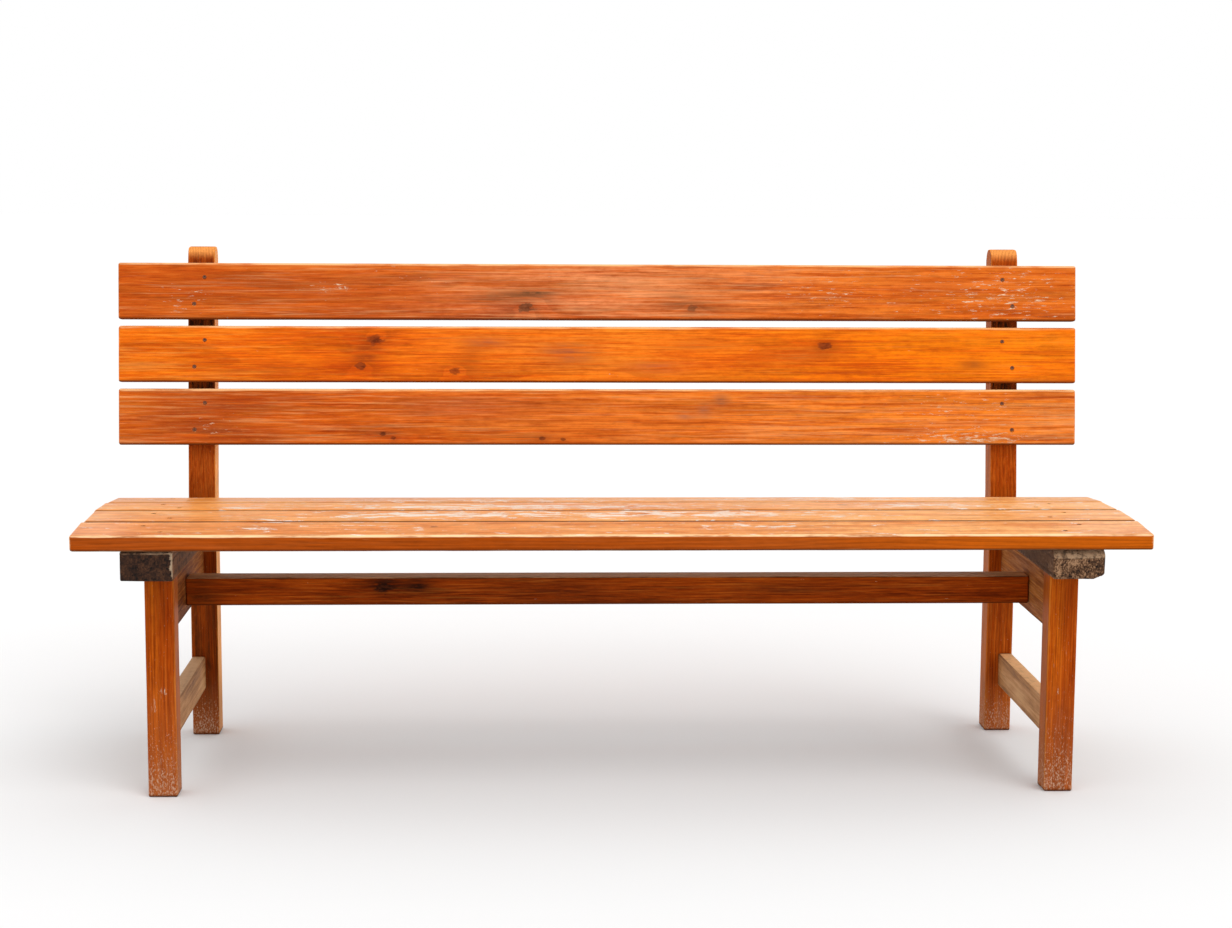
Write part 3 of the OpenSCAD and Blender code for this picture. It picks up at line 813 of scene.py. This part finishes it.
def rear_post(side, number):
    """A cranked post with painted shadow behind the gaps of the slats, painted light on its top and
    painted light and shade on its inner side. The left one is darker, as painted shade, and has painted
    shadow of the seat low down.
    """
    right_hand = side == "right"
    post = f"rear_post_{side}"
    low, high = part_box(post)
    x = (low.x + high.x) / 2
    # The left post's tones are darker than the right's: painted shade, with the light coming from the right.
    tones = (((0.24, 0.028, 0.002), (0.42, 0.066, 0.003), (0.56, 0.12, 0.010)) if right_hand else
             ((0.16, 0.020, 0.002), (0.34, 0.052, 0.003), (0.50, 0.10, 0.010)))
    # Painted shadow on the posts behind the gaps between the slats.
    slat_gap_shadow = [((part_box(lower)[1].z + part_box(upper)[0].z) / 2, x, 0.022, 0.08, 1.0, (0.045, 0.012, 0.003))
             for lower, upper in ((BOTTOM, MIDDLE), (MIDDLE, TOP))]
    # Painted shadow of the seat on the left post, low down.
    seat_shadow = [] if right_hand else [(0.18, x, 0.22, 0.06, 0.95, (0.10, 0.022, 0.004))]
    # Painted light and shade on the inner side: lit on the left post, shaded on the right one.
    inner_side_light = (LEFT, (0.45, 0.125, 0.02), 0.7) if right_hand else (RIGHT, (0.98, 0.40, 0.10), 0.9)
    look = stained_wood(
        f"{post}_stain", "upright", 34 + number, tones, stains=slat_gap_shadow + seat_shadow,
        # Painted light on the faces of the post that look up.
        sides=[((0, -0.25, 1), (0.92, 0.34, 0.08), 0.9), inner_side_light],
        pith=(-0.8 if right_hand else 0.9, -0.2), rings=210, rubbed=0.5, haze=0.1, foot=0.16,
        **UPRIGHT_STAIN)
    shell = carve(f"{post}_timber", *box_frame(low, high, (2, 0, 1)), 36 + number,
                  radius=3 * MM, sag=0.5 * MM, step=12 * MM, warp=post_warp(post))
    finish_piece(shell, post, look)


# ---------------------------------------------------------------- seat bearers and side rails


def seat_bearer(side, number):
    """A rough bearer with a worn bevel. The right one is paler and has a chipped lower corner. The left
    one keeps patches of an old coat on its end."""
    right_hand = side == "right"
    bearer = f"seat_bearer_{side}"
    low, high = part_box(bearer)
    tones = (((0.010, 0.004, 0.002), (0.105, 0.046, 0.020), (0.34, 0.19, 0.10)) if right_hand else
             ((0.010, 0.004, 0.002), (0.030, 0.011, 0.005), (0.075, 0.030, 0.013)))
    bevel_tone, inner_tone = (((0.42, 0.27, 0.16), (0.13, 0.055, 0.022)) if right_hand else
                              ((0.16, 0.09, 0.05), (0.26, 0.105, 0.040)))
    old_coat = [(high.z - 0.010, high.x - 0.03, 0.008, 0.028, 0.36),
                (high.z - 0.028, high.x - 0.003, 0.03, 0.006, 0.36)]
    look = bare_wood(
        f"{bearer}_timber_grain", "rail", 50 + number, tones, remains=(0.48, 0.34, 0.22), left=-0.14,
        edges=0.34, cracks=1.0, grit=3.2 if right_hand else 2.4,
        sides=[((0, -0.7, 0.7), bevel_tone, 0.8), (LEFT if right_hand else RIGHT, inner_tone, 0.8)],
        patches=[] if right_hand else old_coat)
    shell = carve(f"{bearer}_timber", *box_frame(low, high, (1, 2, 0)), 52 + number,
                  radius=3.5 * MM, sag=1.2 * MM, step=7 * MM, fine_step=6 * MM,
                  warp=bearer_warp(bearer, (13 if right_hand else 5) * MM),
                  chips=[((-1, -1, 1), (0.03, 0.010, 0.022))] if right_hand else [])
    finish_piece(shell, bearer, look)


def upper_rail(side, number):
    """A board on edge with a thin, blotchy stain."""
    look = stained_wood(
        f"upper_side_rail_{side}_stain", "rail", 60 + number,
        ((0.13, 0.030, 0.007), (0.33, 0.100, 0.022), (0.50, 0.20, 0.07)),
        rubbed=0.5, flecks=0.6, streaks=1.5, blotch=2.0, gloss=0.6, pith=(0.1, 0.5), shine=0.02)
    timber(f"upper_side_rail_{side}", "upper_rail_paint", Y, look, 60 + number, radius=3 * MM, sag=0.4 * MM)


def lower_rail(side, number):
    """A bare rail, paler on top. What is left of its coat is cream on the right and orange on the left."""
    right_hand = side == "right"
    look = bare_wood(
        f"lower_side_rail_{side}_grain", "rail", 64 + number,
        ((0.17, 0.065, 0.020), (0.44, 0.20, 0.068), (0.62, 0.34, 0.15)), left=-0.10, cracks=0.3,
        remains=(0.78, 0.46, 0.24) if right_hand else (0.36, 0.09, 0.015),
        rough=0.7, relief=0.6, ragged=0.3,
        sides=[(UP, (1.0, 0.54, 0.23) if right_hand else (0.62, 0.36, 0.18), 0.95)])
    timber(f"lower_side_rail_{side}", "lower_rail_wood", Y, look, 64 + number, radius=3.5 * MM, sag=0.5 * MM)


for number, side in enumerate(("left", "right"), start=1):
    for make in (front_leg, rear_post, seat_bearer, upper_rail, lower_rail):
        make(side, number)

# ---------------------------------------------------------------- long stretcher


def stretcher_wood():
    """Dark, as painted shade under the seat, with a black knot about a quarter in from the left, and pale on
    top: bare dry wood, made paler as painted light where it faces up.
    """
    at = partial(on_slat, "long_stretcher")
    return stained_wood(
        # Dark tones: painted shade under the seat.
        "long_stretcher_stain", "beam", 70, ((0.14, 0.017, 0.001), (0.33, 0.046, 0.002), (0.50, 0.09, 0.005)),
        knots=[at(0.232, 0.66, 0.015, 1.0)],
        core_tones=((0.008, 0.003, 0.002), (0.07, 0.016, 0.005)),
        stains=[at(0.235, 0.65, 0.028, 0.020, 1.0, (0.02, 0.006, 0.003)),
                at(0.272, 0.66, 0.026, 0.020, 1.0, (0.035, 0.008, 0.003)),
                at(0.45, 0.4, 0.12, 0.02, 0.7, (0.07, 0.014, 0.004)),
                at(0.70, 0.6, 0.10, 0.012, 0.7, (0.07, 0.014, 0.004)),
                at(0.02, 0.5, 0.03, 0.06, 0.9, (0.10, 0.020, 0.004))],
        # Pale top: bare weathered wood, and painted light where it faces up.
        sides=[(UP, (1.0, 0.62, 0.33), 0.95)], flecks=0.1, gloss=0.5, haze=0.15, pith=(-0.9, 0.1),
        rubbed=0.8, edge_tone=(0.06, 0.012, 0.003), shine=0.02)


timber("long_stretcher", "stretcher_paint", X, stretcher_wood(), 71, radius=3.2 * MM, sag=0.4 * MM)

# ---------------------------------------------------------------- pegs and screws

THREAD_PITCH = 2.4 * MM
# How far a screw's head lies below the wood
SINK = 0.7 * MM
SCREW_SIDES = 20


def loose_parts(node):
    """The points of each separate solid of a CAD node."""
    bm = welded(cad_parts[node].data)
    left, parts = set(bm.verts), []
    while left:
        seen, queue = set(), [left.pop()]
        while queue:
            vert = queue.pop()
            seen.add(vert)
            queue += [v for e in vert.link_edges for v in e.verts if v not in seen and v not in queue]
        left -= seen
        parts.append(np.array([v.co for v in seen]))
    bm.free()
    return sorted(parts, key=lambda part: tuple(part.mean(0).round(4)))


def axis_of(part):
    """Head end, way to the tip, length, head radius and shank radius of a screw's points."""
    middle = part.mean(0)
    way = np.linalg.svd(part - middle)[2][0]
    t = (part - middle) @ way
    r = np.linalg.norm(part - middle - np.outer(t, way), axis=1)
    if r[t > t.max() - 0.5 * MM].max() > r[t < t.min() + 0.5 * MM].max():
        way, t = -way, -t
    centre = (part.min(0) + part.max(0)) / 2
    head = centre + way * (t.min() - (t.min() + t.max()) / 2)
    return head, way, t.max() - t.min(), r.max(), np.sort(r[r > 0.2 * MM])[len(r) // 3]


def lathe(rings, segments):
    """Points and faces turned about Z: a ring is (z, radius, how far its radius winds like a thread)."""
    points, faces = [], []
    for z, radius, wind in rings:
        for k in range(segments):
            turn = 2 * math.pi * k / segments
            lift = abs(((z / THREAD_PITCH + k / segments) % 1) * 2 - 1) * wind
            points.append(((radius + lift) * math.cos(turn), (radius + lift) * math.sin(turn), z))
    for row in range(len(rings) - 1):
        for k in range(segments):
            a, b = row * segments + k, row * segments + (k + 1) % segments
            faces.append((a, b, b + segments, a + segments))
    faces.append(tuple(reversed(range(segments))))
    faces.append(tuple(range(len(points) - segments, len(points))))
    return points, faces


def screw_mesh(name, length, head, shank):
    """A countersunk wood screw pointing up Z from its head at the origin, with a cross recess."""
    depth = head - shank
    core = shank * 0.78
    rings = [(SINK, head - SINK * 0.9, 0), (SINK + 0.3 * MM, head - SINK * 0.6, 0), (depth, shank * 0.97, 0),
             (length * 0.32, shank * 0.97, 0)]
    steps = int((length * 0.92 - length * 0.33) / (THREAD_PITCH / 4))
    rings += [(length * 0.33 + i * THREAD_PITCH / 4, core, shank - core) for i in range(steps)]
    rings += [(length * 0.96, core * 0.5, 0), (length * 0.995, core * 0.12, 0)]
    points, faces = lathe(rings, SCREW_SIDES)
    mesh = bpy.data.meshes.new(name)
    mesh.from_pydata(points, [], faces)
    obj = bpy.data.objects.new(name, mesh)
    bpy.context.scene.collection.objects.link(obj)
    for turn in (0, math.pi / 2):
        slot = bmesh.new()
        bmesh.ops.create_cube(slot, size=1)
        bmesh.ops.scale(slot, verts=slot.verts, vec=(head * 0.95, head * 0.2, head * 0.6))
        bmesh.ops.rotate(slot, verts=slot.verts, matrix=Matrix.Rotation(turn, 3, "Z"))
        bmesh.ops.translate(slot, verts=slot.verts, vec=(0, 0, SINK))
        slot_mesh = bpy.data.meshes.new("recess")
        slot.to_mesh(slot_mesh)
        slot.free()
        cutter = bpy.data.objects.new("recess", slot_mesh)
        bpy.context.scene.collection.objects.link(cutter)
        apply_boolean(obj, cutter, "DIFFERENCE")
        bpy.data.objects.remove(cutter)
    mesh = obj.data
    bpy.data.objects.remove(obj)
    return mesh


def screw_set(node, material, seed):
    """Detailed screws in the places of the CAD ones, each turned by a different amount."""
    turns = np.random.default_rng(seed)
    joined, master = bmesh.new(), None
    for part in loose_parts(node):
        head, way, length, head_radius, shank_radius = axis_of(part)
        if master is None:
            master = screw_mesh(node + "_master", length, head_radius, shank_radius)
        aim = Vector(way).to_track_quat("Z", "Y").to_matrix().to_4x4()
        spin = Matrix.Rotation(turns.uniform(0, math.pi), 4, "Z")
        copy = master.copy()
        copy.transform(Matrix.Translation(Vector(head)) @ aim @ spin)
        joined.from_mesh(copy)
        bpy.data.meshes.remove(copy)
    mesh = bpy.data.meshes.new(node + "_set")
    joined.to_mesh(mesh)
    joined.free()
    obj = bpy.data.objects.new(node + "_set", mesh)
    bpy.context.scene.collection.objects.link(obj)
    smooth_shade(obj, SHARP_SCREW)
    mesh.materials.append(material)
    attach(obj, "root")
    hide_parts(node)


steel = rusty_steel("screw_rust")
for place, node in enumerate(sorted(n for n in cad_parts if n.endswith("screws"))):
    screw_set(node, steel, 90 + place)

PEG_TONES = ((0.10, 0.03, 0.01), (0.25, 0.08, 0.02), (0.40, 0.15, 0.05))
peg_look = bare_wood("peg_end_grain", "beam", 80, PEG_TONES, left=-0.2, rough=0.6)
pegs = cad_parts["rail_pegs"]
pegs.data.materials.clear()
pegs.data.materials.append(peg_look)

# ---------------------------------------------------------------- studio

FLOOR_SIZE = 80
KEY_PLACE = (1.4, -2.4, 3.6)
KEY_SPREAD, KEY_STRENGTH = 40, 0.8


def pale_floor():
    """A pale, plain floor."""
    white = bpy.data.materials.new("studio_floor")
    white.use_nodes = True
    sockets = white.node_tree.nodes["Principled BSDF"].inputs
    sockets["Base Color"].default_value = (0.86, 0.86, 0.86, 1)
    sockets["Roughness"].default_value = 0.9
    sockets["Specular IOR Level"].default_value = 0.0
    bpy.ops.mesh.primitive_plane_add(size=FLOOR_SIZE, location=(0, 0, 0))
    floor = bpy.context.object
    floor.name = "studio_floor"
    floor.data.materials.append(white)


def white_world():
    """Even white light from all round."""
    world = bpy.data.worlds.new("studio")
    bpy.context.scene.world = world
    world.use_nodes = True
    sockets = world.node_tree.nodes["Background"].inputs
    sockets["Color"].default_value = (1, 1, 1, 1)
    sockets["Strength"].default_value = 1.0


def soft_sun(name, place, spread, strength):
    """A wide, soft light that shines from a place towards the origin."""
    data = bpy.data.lights.new(name, "SUN")
    data.angle, data.energy = math.radians(spread), strength
    lamp = bpy.data.objects.new(name, data)
    bpy.context.scene.collection.objects.link(lamp)
    lamp.location = place
    lamp.rotation_euler = (-Vector(place)).to_track_quat("-Z", "Y").to_euler()


pale_floor()
white_world()
soft_sun("key_light", KEY_PLACE, KEY_SPREAD, KEY_STRENGTH)

# ---------------------------------------------------------------- camera

LENS_MM, SENSOR_MM = 66.45, 36
# Where the camera stands: x, how far in front of the seat, and how high
CAMERA_X, CAMERA_AWAY, CAMERA_HEIGHT = -0.161, 3.567, 1.025
# How far it looks down, turns to the right and rolls
PITCH, YAW, ROLL = math.radians(7.52), math.radians(2.54), math.radians(0.32)


def photo_camera():
    """A camera that sees the bench as the photo does."""
    lens = bpy.data.cameras.new("camera")
    lens.sensor_width, lens.lens = SENSOR_MM, LENS_MM
    camera = bpy.data.objects.new("camera", lens)
    bpy.context.scene.collection.objects.link(camera)
    camera.location = (CAMERA_X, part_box("seat_board_1")[0].y - CAMERA_AWAY, CAMERA_HEIGHT)
    ahead = Vector((math.sin(YAW) * math.cos(PITCH), math.cos(YAW) * math.cos(PITCH), -math.sin(PITCH)))
    right = Vector((math.cos(YAW), -math.sin(YAW), 0))
    up = right.cross(ahead)
    right, up = right * math.cos(ROLL) + up * math.sin(ROLL), up * math.cos(ROLL) - right * math.sin(ROLL)
    camera.rotation_euler = Matrix((right, up, -ahead)).transposed().to_euler()
    return camera


bpy.context.scene.camera = photo_camera()
bpy.context.scene.view_settings.view_transform = "Standard"
